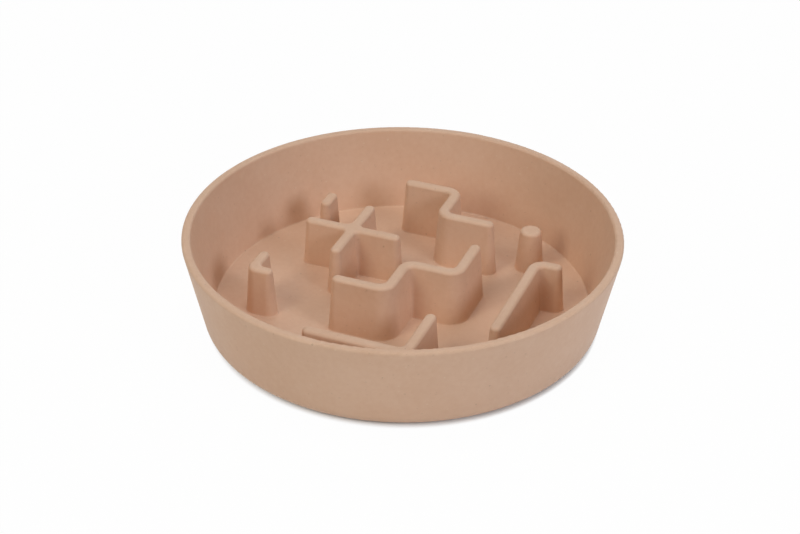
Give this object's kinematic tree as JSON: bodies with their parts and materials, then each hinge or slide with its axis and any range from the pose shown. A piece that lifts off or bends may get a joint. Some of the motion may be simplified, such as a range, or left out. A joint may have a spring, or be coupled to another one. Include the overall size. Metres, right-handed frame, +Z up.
{
  "type": "slow feeder bowl",
  "caption": "Round, flared pet bowl with a flat floor and a maze of upright ridges that slows eating, on a soft non-slip ring let into the base.",
  "frame": {"origin": "centre of the ground under the bowl, on the plane that the ring rests on", "axes": "+Z up, out of the bowl's mouth; X and Y run along the maze's ridges"},
  "size_m": [0.2, 0.2, 0.0446],
  "materials": {
    "moulding": "matte, finely speckled",
    "ring": "matte"
  },
  "bodies": {
    "root": {"bowl_shell": "moulding", "centre_zigzag": "moulding", "back_zigzag": "moulding", "cross_ridge": "moulding", "right_corner": "moulding", "front_corner": "moulding", "left_hook": "moulding", "back_stub": "moulding", "round_peg": "moulding", "non_slip_ring": "ring"}
  },
  "joints": []
}
